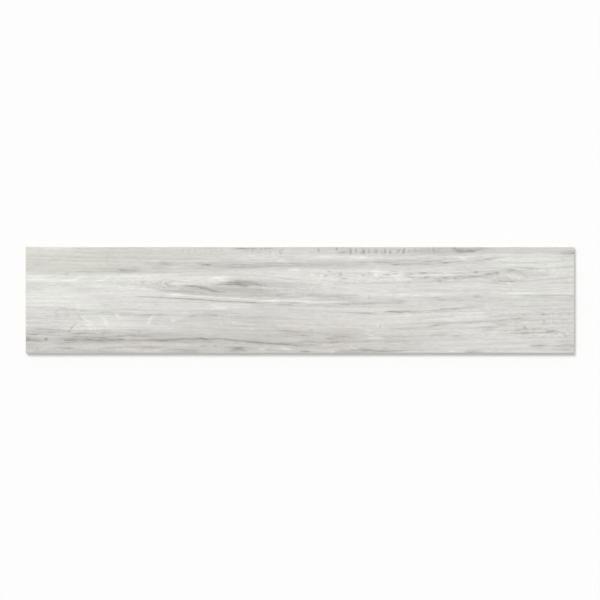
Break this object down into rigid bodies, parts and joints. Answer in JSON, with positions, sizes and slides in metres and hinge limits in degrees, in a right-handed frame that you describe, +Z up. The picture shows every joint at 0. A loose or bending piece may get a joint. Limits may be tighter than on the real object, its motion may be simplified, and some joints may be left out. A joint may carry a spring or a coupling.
{
  "type": "wood-look porcelain plank tile",
  "caption": "Long flat porcelain plank tile with a pale grey wood-grain printed face, bevelled ground edges and a ribbed back that keys into tile adhesive.",
  "frame": {"origin": "middle of the back, on the plane of the ribs that the tile lies on", "axes": "+X along the plank, +Y across it, +Z up through the printed face"},
  "size_m": [1.2, 0.232, 0.0095],
  "materials": {
    "porcelain": "matte"
  },
  "bodies": {
    "root": {"plank_tile": "porcelain"}
  },
  "joints": []
}
